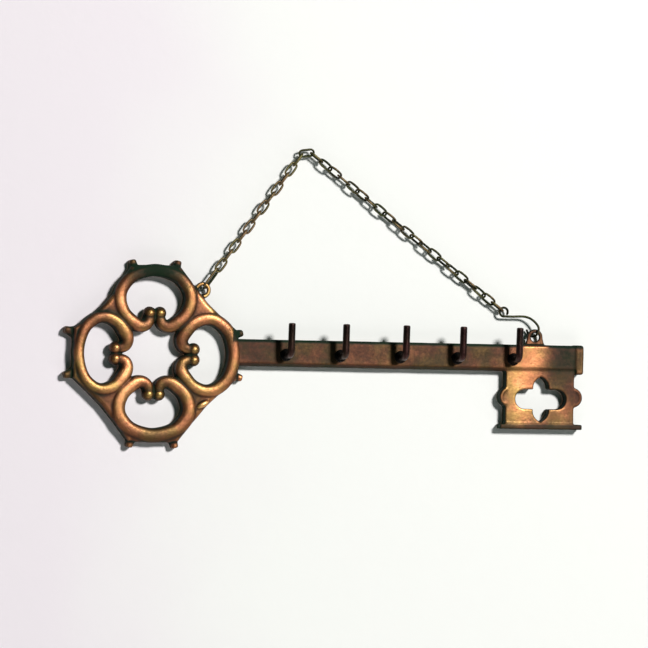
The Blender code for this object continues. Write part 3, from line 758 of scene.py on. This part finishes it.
def hook_mesh():
    """A peened tail, a spigot, a turned collar and a bent rod with a worn tip."""
    face = WALL_Y - SHANK_DEPTH
    back = WALL_Y - TAIL_INSET
    collar_back = face - GAP
    stations = [
        (back, 0.5), (back - 0.05, TAIL_RADIUS - 0.9), (back - 0.18, TAIL_RADIUS - 0.3),
        (back - 0.45, TAIL_RADIUS), (back - TAIL_DEPTH, SPIGOT_RADIUS),
        (collar_back + 0.02, SPIGOT_RADIUS), (collar_back, COLLAR_RADIUS - COLLAR_LIP),
        (collar_back - COLLAR_LIP * 0.6, COLLAR_RADIUS),
        (collar_back - COLLAR_THICK * 0.6, COLLAR_RADIUS - 0.1),
        (collar_back - COLLAR_THICK * 0.9, COLLAR_RADIUS - 0.5),
        (collar_back - COLLAR_THICK, HOOK_RADIUS + 0.7),
        (collar_back - COLLAR_THICK - 0.15, HOOK_RADIUS + 0.3),
        (collar_back - COLLAR_THICK - 0.5, HOOK_RADIUS + 0.12),
        (collar_back - COLLAR_THICK - 0.9, HOOK_RADIUS),
    ]
    path = [Vector((0.0, y, HOOK_Z)) for y, radius in stations]
    radii = [radius for y, radius in stations]
    out = face - HOOK_REACH
    turn = math.pi / 2 - HOOK_LEAN
    centre = Vector((0.0, out + HOOK_BEND, HOOK_Z + HOOK_BEND))
    bend_steps = 16
    for i in range(bend_steps + 1):
        angle = turn * i / bend_steps
        path.append(centre + Vector((0.0, -math.sin(angle), -math.cos(angle))) * HOOK_BEND)
        radii.append(HOOK_RADIUS)
    end = path[-1]
    upright = Vector((0.0, -math.sin(HOOK_LEAN), math.cos(HOOK_LEAN)))
    length = (HOOK_TIP_Z - end.z) / upright.z
    rod_steps = 14
    for i in range(1, rod_steps + 1):
        path.append(end + upright * (length - HOOK_TIP_START) * i / rod_steps)
        radii.append(HOOK_RADIUS)
    for short, thin in HOOK_TIP:
        path.append(end + upright * (length - short))
        radii.append(HOOK_RADIUS - thin)
    sections = [round_section(radius, 28) for radius in radii]
    return finish_mesh("hook", sweep(path, sections, X_AXIS), 55)


def roughened(mesh, seed, coarse=0.04, fine=0.02, lift=0.0):
    """A little unevenness on a small piece, and how worn it is: bright outside, dark in the hollows."""
    places = positions_of(mesh)
    normals = normals_of(mesh)
    uneven = coarse * noise_at(places, 2.2, seed) + fine * noise_at(places, 0.7, seed + 1)
    set_positions(mesh, places + normals * uneven[:, None])
    outward = places - places.mean(axis=0)
    outward /= np.maximum(np.linalg.norm(outward, axis=1, keepdims=True), 0.001)
    store(mesh, "wear_and_painted_light", 0.5 + lift + 0.5 * np.einsum("ij,ij->i", outward, normals))
    return mesh


def make_hooks(material):
    for number, x in enumerate(HOOK_XS, start=1):
        mesh = hook_mesh()
        mesh.transform(Matrix.Translation((x * MM, 0.0, 0.0)))
        roughened(mesh, number)
        hook = add_object(f"peg_hook_{number}", mesh, material)
        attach(hook, "rack")
        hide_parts(f"hook_{number}")


def link_axes(node):
    """A CAD link's centre, its own axes (long, wide, thin) and its half sizes."""
    places = positions_of(frame["nodes"][node].data)
    centre = places.mean(axis=0)
    spread, axes = np.linalg.eigh(np.cov((places - centre).T))
    long, wide, thin = axes[:, 2], axes[:, 1], axes[:, 0]
    half = [np.abs((places - centre) @ axis).max() for axis in (long, wide, thin)]
    return centre, (long, wide, thin), half


def wire_link(node, rng):
    """A bent oval of wire: ends butted on one long side, worn where links bear, sides bowed out."""
    centre, (long, wide, thin), half = link_axes(node)
    half_length = half[0] - WIRE
    belly = rng.uniform(*LINK_BULGE) * (node not in UNBOWED_LINKS)
    half_width = half[1] - WIRE
    straight = half_length - half_width
    path = []
    radii = []
    sides = 12
    quarter = 20
    for side in (1, -1):
        for i in range(quarter):
            turn = math.pi * (i + 0.5) / quarter - math.pi / 2
            along = side * (straight + half_width * math.cos(turn))
            path.append((along, side * half_width * math.sin(turn)))
        for i in range(1, sides):
            along = side * straight * (1 - 2 * i / sides)
            path.append((along, side * (half_width + belly * math.sin(math.pi * i / sides))))
    joint = len(path) // 2 - sides // 2
    for i in range(len(path)):
        steps_off = abs(i - joint)
        if steps_off < len(LINK_BUTT):
            share = LINK_BUTT[steps_off]
        else:
            share = BEARING_WEAR if abs(path[i][0]) > straight else 1.0
        radii.append(WIRE * share)
    middle = Vector(centre)
    long, wide, thin = Vector(long), Vector(wide), Vector(thin)
    points = [middle + long * a + wide * b for a, b in path]
    shape = sweep(points, [round_section(radius, 14) for radius in radii], thin, closed=True)
    return finish_mesh(node, shape)


def make_links(material, names):
    rng = random.Random(4)
    for number, node in enumerate(names):
        lift = 0.35 if node.startswith("left") else 0.0
        mesh = roughened(wire_link(node, rng), 10 + number, 0.012, 0.008, lift)
        link = add_object("wire_" + node, mesh, material)
        body = frame["nodes"][node]["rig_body"]
        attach(link, body)
        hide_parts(node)


def s_hook_path(eye_top, direction):
    """The bent wire's centreline: an eye, a level run, a bend down and a curl round the lug."""
    eye = eye_top + direction * EYE_RADIUS
    path = []
    for i in range(EYE_STEPS + 1):
        turn = math.radians(EYE_START + (EYE_END - EYE_START) * i / EYE_STEPS)
        aside = Y_AXIS * EYE_ASIDE * max(0.0, 1 - 2 * i / EYE_STEPS)
        path.append(eye + aside + Vector((math.cos(turn), 0.0, math.sin(turn))) * EYE_RADIUS)
    lug = Vector((RIGHT_LUG[0], 0.0, RIGHT_LUG[1]))
    along, y = S_HOOK_LEVEL
    run = [path[-1], Vector((eye.x + along, y, eye.z - EYE_RADIUS))]
    run += [lug + Vector(offset) for offset in S_HOOK_RUN]
    return path[:-1] + smooth_curve(run, 9)


def right_strand_end():
    """Where the right strand's last end wire hands over to the S-hook, and its direction."""
    apex = Vector((0.0, 0.0, WIRE - LINK_HALF_WIDTH))
    lean = Vector((math.cos(APEX_TILT), 0.0, math.sin(APEX_TILT)))
    bend = apex + lean * (LINK_HALF_LENGTH - LINK_HALF_WIDTH)
    direction = (Vector((RIGHT_LUG[0], 0.0, RIGHT_LUG[1])) - bend).normalized()
    start = bend + direction * (LINK_HALF_WIDTH - WIRE - GAP / 2)
    return start + direction * (LINK_PITCH * RIGHT_LINKS - WIRE - GAP / 2), direction


def make_s_hook(material):
    path = s_hook_path(*right_strand_end())
    radii = [WIRE] * len(path)
    for i, part in enumerate(S_HOOK_ENDS):
        radii[i] = radii[-1 - i] = WIRE * part
    mesh = finish_mesh("s_hook", sweep(path, [round_section(r, 16) for r in radii], Y_AXIS))
    piece = add_object("bent_s_hook", roughened(mesh, 60, 0.03, 0.015), material)
    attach(piece, "s_hook")
    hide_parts("s_hook")


# ---------------------------------------------------------------- materials


class Paint:
    """Builds one material's nodes."""

    def __init__(self, name):
        self.material = bpy.data.materials.new(name)
        self.material.use_nodes = True
        self.nodes = self.material.node_tree.nodes
        self.links = self.material.node_tree.links
        self.shader = self.nodes["Principled BSDF"]
        self.place = self.nodes.new("ShaderNodeTexCoord").outputs["Object"]

    def feed(self, socket, value):
        if isinstance(value, bpy.types.NodeSocket):
            self.links.new(value, socket)
        else:
            socket.default_value = value

    def noise(self, size, detail=3.0, rough=0.55):
        """Noise with lumps of about this many millimetres."""
        node = self.nodes.new("ShaderNodeTexNoise")
        self.feed(node.inputs["Vector"], self.place)
        node.inputs["Scale"].default_value = 1.0 / (size * MM)
        node.inputs["Detail"].default_value = detail
        node.inputs["Roughness"].default_value = rough
        return node.outputs["Fac"]

    def math(self, operation, a, b, clamp=False):
        node = self.nodes.new("ShaderNodeMath")
        node.operation = operation
        node.use_clamp = clamp
        self.feed(node.inputs[0], a)
        self.feed(node.inputs[1], b)
        return node.outputs[0]

    def multiply(self, a, b):
        node = self.nodes.new("ShaderNodeVectorMath")
        node.operation = "MULTIPLY"
        self.feed(node.inputs[0], a)
        self.feed(node.inputs[1], b)
        return node.outputs[0]

    def spread(self, value, amount):
        """A 0 to 1 value turned into one centred on 0."""
        return self.math("MULTIPLY", self.math("SUBTRACT", value, 0.5), amount)

    def attribute(self, name):
        node = self.nodes.new("ShaderNodeAttribute")
        node.attribute_name = name
        return node.outputs["Fac"]

    def steps(self, value, stops, smooth=True):
        """A colour ramp. Each stop is a position and a colour or a grey."""
        node = self.nodes.new("ShaderNodeValToRGB")
        node.color_ramp.interpolation = "EASE" if smooth else "LINEAR"
        elements = node.color_ramp.elements
        while len(elements) < len(stops):
            elements.new(1.0)
        for element, (position, colour) in zip(elements, stops):
            element.position = position
            colour = colour if isinstance(colour, tuple) else (colour,) * 3
            element.color = (*colour, 1.0)
        self.feed(node.inputs["Fac"], value)
        return node.outputs["Color"]

    def bump(self, height, distance, strength=1.0):
        node = self.nodes.new("ShaderNodeBump")
        node.inputs["Strength"].default_value = strength
        node.inputs["Distance"].default_value = distance * MM
        self.feed(node.inputs["Height"], height)
        self.feed(self.shader.inputs["Normal"], node.outputs["Normal"])


def worn_metal(name, stops, metallic, roughness, blotch=0.20):
    """Old metal: wear (with the casting's painted highlights and painted shade) and blotches pick the
    colour, and tarnish is duller than rubbed metal.
    """
    paint = Paint(name)
    wear_and_painted_light = paint.attribute("wear_and_painted_light")
    wear_and_painted_light = paint.math("ADD", wear_and_painted_light, paint.spread(paint.noise(9.0, 4.0), blotch))
    wear_and_painted_light = paint.math("ADD", wear_and_painted_light, paint.spread(paint.noise(1.6, 5.0, 0.65), blotch * 1.1), clamp=True)
    tint = paint.steps(paint.noise(13.0, 3.0), [(0.35, (1.12, 0.93, 0.95)), (0.65, (0.86, 1.05, 0.80))])
    colour = paint.multiply(paint.steps(wear_and_painted_light, stops, smooth=False), tint)
    paint.feed(paint.shader.inputs["Base Color"], colour)
    paint.feed(paint.shader.inputs["Metallic"], paint.steps(wear_and_painted_light, [(0.1, metallic[0]), (0.45, metallic[1])]))
    paint.feed(paint.shader.inputs["Specular IOR Level"], paint.steps(wear_and_painted_light, [(0.1, 0.08), (0.45, 0.5)]))
    rough = paint.steps(wear_and_painted_light, [(0.1, roughness[0]), (0.7, roughness[1])])
    speckle = paint.spread(paint.noise(0.6, 4.0), 0.18)
    paint.feed(paint.shader.inputs["Roughness"], paint.math("ADD", rough, speckle, clamp=True))
    pits = paint.steps(paint.noise(0.55, 4.0, 0.6), [(0.30, 0.0), (0.46, 1.0)])
    grain = paint.math("ADD", pits, paint.math("MULTIPLY", paint.noise(1.4, 4.0), 1.2))
    paint.bump(grain, 0.10, 0.6)
    return paint.material


def brass_material():
    return worn_metal("antique_brass_cast", [
        # the lowest stop's dark teal on flanks and hollows is partly tarnish, partly painted shade
        (0.00, (0.009, 0.023, 0.015)),
        (0.20, (0.014, 0.020, 0.011)),
        (0.38, (0.072, 0.036, 0.021)),
        (0.56, (0.190, 0.088, 0.042)),
        (0.74, (0.440, 0.205, 0.085)),
        (1.00, (0.900, 0.520, 0.220)),
    ], metallic=(0.0, 0.85), roughness=(0.70, 0.40))


def hook_material():
    return worn_metal("dark_hook_metal", [
        (0.00, (0.002, 0.002, 0.002)),
        (0.62, (0.006, 0.003, 0.003)),
        (1.00, (0.050, 0.022, 0.019)),
    ], metallic=(0.6, 0.8), roughness=(0.50, 0.36), blotch=0.25)


def chain_material():
    return worn_metal("olive_chain_bronze", [
        (0.00, (0.004, 0.007, 0.002)),
        (0.50, (0.012, 0.016, 0.005)),
        (0.80, (0.040, 0.038, 0.014)),
        (1.00, (0.170, 0.125, 0.062)),
    ], metallic=(0.5, 0.8), roughness=(0.55, 0.42), blotch=0.30)


# ---------------------------------------------------------------- the room

VIEW_CENTRE = Vector((12.5, 0.0, -101.1))
VIEW_AZIMUTH = math.radians(-14.0)
VIEW_ELEVATION = math.radians(-0.5)
VIEW_ROLL = math.radians(1.1)
VIEW_DISTANCE = 3000.0
FRAME_WIDTH = 380.0
SENSOR = 36.0

LAMPS = [                      # name, towards it, distance, size, watts, colour
    ("key_light", (3.6, -10.0, 3.5), 3000.0, 460.0, 91.0, (1.0, 0.99, 0.97)),
    ("back_light", (-0.7, 1.0, 0.5), 1400.0, 700.0, 26.0, (1.0, 0.98, 0.95)),
    ("back_fill", (0.8, 1.0, 0.2), 1400.0, 700.0, 8.0, (0.95, 0.98, 1.0)),
]
FILL_COLOUR = (0.28, 1.0, 0.86, 1.0)
FILL_STRENGTH = 0.032
SEEN_COLOUR = (0.90, 0.90, 0.91, 1.0)
ROOM_HALF = 2000.0
BEHIND = 0.4                   # the wall stands this far behind the flat back
FLOOR_Z = -1500.0


def make_camera():
    data = bpy.data.cameras.new("camera")
    data.sensor_width = SENSOR
    data.lens = SENSOR * VIEW_DISTANCE / FRAME_WIDTH
    data.clip_start = 0.05
    camera = bpy.data.objects.new("camera", data)
    bpy.context.scene.collection.objects.link(camera)
    level = math.cos(VIEW_ELEVATION)
    back = Vector((
        math.sin(VIEW_AZIMUTH) * level, -math.cos(VIEW_AZIMUTH) * level, math.sin(VIEW_ELEVATION),
    ))
    camera.location = (VIEW_CENTRE + back * VIEW_DISTANCE) * MM
    camera.rotation_mode = "QUATERNION"
    roll = Matrix.Rotation(VIEW_ROLL, 4, "Z").to_quaternion()
    camera.rotation_quaternion = (-back).to_track_quat("-Z", "Y") @ roll
    bpy.context.scene.camera = camera


def add_light(name, towards, distance, size, power, colour):
    data = bpy.data.lights.new(name, "AREA")
    data.shape = "DISK"
    data.size = size * MM
    data.energy = power
    data.color = colour
    lamp = bpy.data.objects.new(name, data)
    bpy.context.scene.collection.objects.link(lamp)
    towards = towards.normalized()
    lamp.location = (VIEW_CENTRE + towards * distance) * MM
    lamp.rotation_mode = "QUATERNION"
    lamp.rotation_quaternion = towards.to_track_quat("Z", "Y")


def make_lights():
    for name, towards, distance, size, power, colour in LAMPS:
        add_light(name, Vector(towards), distance, size, power, colour)


def make_world():
    world = bpy.data.worlds.new("studio")
    world.use_nodes = True
    nodes = world.node_tree.nodes
    links = world.node_tree.links
    fill = nodes["Background"]
    fill.inputs["Color"].default_value = FILL_COLOUR
    fill.inputs["Strength"].default_value = FILL_STRENGTH
    seen = nodes.new("ShaderNodeBackground")
    seen.inputs["Color"].default_value = SEEN_COLOUR
    path = nodes.new("ShaderNodeLightPath")
    mix = nodes.new("ShaderNodeMixShader")
    links.new(path.outputs["Is Camera Ray"], mix.inputs[0])
    links.new(fill.outputs[0], mix.inputs[1])
    links.new(seen.outputs[0], mix.inputs[2])
    links.new(mix.outputs[0], nodes["World Output"].inputs["Surface"])
    bpy.context.scene.world = world


def wall_material():
    """Matt painted plaster, open to what is behind it or lies flat against it."""
    paint = Paint("pale_wall")
    across = paint.nodes.new("ShaderNodeSeparateXYZ")
    paint.feed(across.inputs[0], paint.place)
    along = paint.math("ADD", paint.math("MULTIPLY", across.outputs[0], 3.0), 0.55)
    patchy = paint.math("ADD", along, paint.spread(paint.noise(160.0, 2.0), 0.5), clamp=True)
    tint = paint.steps(patchy, [(0.1, (0.90, 0.835, 0.885)), (0.6, (0.955, 0.955, 0.935))])
    paint.feed(paint.shader.inputs["Base Color"], tint)
    paint.feed(paint.shader.inputs["Roughness"], 0.9)
    paint.feed(paint.shader.inputs["Specular IOR Level"], 0.1)
    paint.bump(paint.noise(7.0, 3.0), 0.5, 0.25)
    nodes, links = paint.nodes, paint.links
    clear = nodes.new("ShaderNodeBsdfTransparent")
    mix = nodes.new("ShaderNodeMixShader")
    behind = nodes.new("ShaderNodeNewGeometry").outputs["Backfacing"]
    ray = nodes.new("ShaderNodeLightPath").outputs["Ray Length"]
    flat_against = paint.math("LESS_THAN", ray, 2 * BEHIND * MM)
    links.new(paint.math("MAXIMUM", behind, flat_against), mix.inputs[0])
    links.new(paint.shader.outputs[0], mix.inputs[1])
    links.new(clear.outputs[0], mix.inputs[2])
    links.new(mix.outputs[0], nodes["Material Output"].inputs["Surface"])
    return paint.material


def floor_material():
    paint = Paint("pale_floor")
    paint.feed(paint.shader.inputs["Base Color"], paint.steps(paint.noise(60.0), [(0.3, 0.74), (0.7, 0.78)]))
    paint.feed(paint.shader.inputs["Roughness"], 0.9)
    return paint.material


def make_room():
    half = ROOM_HALF
    wall_y = WALL_Y + BEHIND
    corners = {
        "wall": [
            (-half, wall_y, FLOOR_Z), (half, wall_y, FLOOR_Z), (half, wall_y, half), (-half, wall_y, half),
        ],
        "floor": [
            (-half, -half, FLOOR_Z), (half, -half, FLOOR_Z), (half, half, FLOOR_Z), (-half, half, FLOOR_Z),
        ],
    }
    for name, points in corners.items():
        mesh = bpy.data.meshes.new(name)
        mesh.from_pydata([Vector(p) * MM for p in points], [], [(0, 1, 2, 3)])
        add_object(name, mesh, wall_material() if name == "wall" else floor_material())


def make_casting(material):
    pieces = (
        ("bow_casting", cast_mesh("bow", bow_shapes()), BOW_RIDGES),
        ("shank_casting", cast_mesh(
            "shank", shank_shapes() + bit_shapes() + [lug_ring(RIGHT_LUG), right_lug_foot()],
            cross_cutters() + rivet_cutters(),
        ), SHANK_RIDGES),
    )
    for name, mesh, ridges_shine in pieces:
        piece = add_object(name, weather_casting(mesh, ridges_shine), material)
        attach(piece, "rack")
        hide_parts("key_casting")


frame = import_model()
bpy.context.scene.view_settings.view_transform = "Standard"
make_camera()
make_lights()
make_world()
make_room()
make_casting(brass_material())
make_hooks(hook_material())
link_names = ["nail_link", "left_end_link"]
link_names += [f"left_link_{i + 1:02d}" for i in range(LEFT_LINKS)]
link_names += [f"right_link_{i + 1:02d}" for i in range(RIGHT_LINKS)]
chain = chain_material()
make_links(chain, link_names)
make_s_hook(chain)
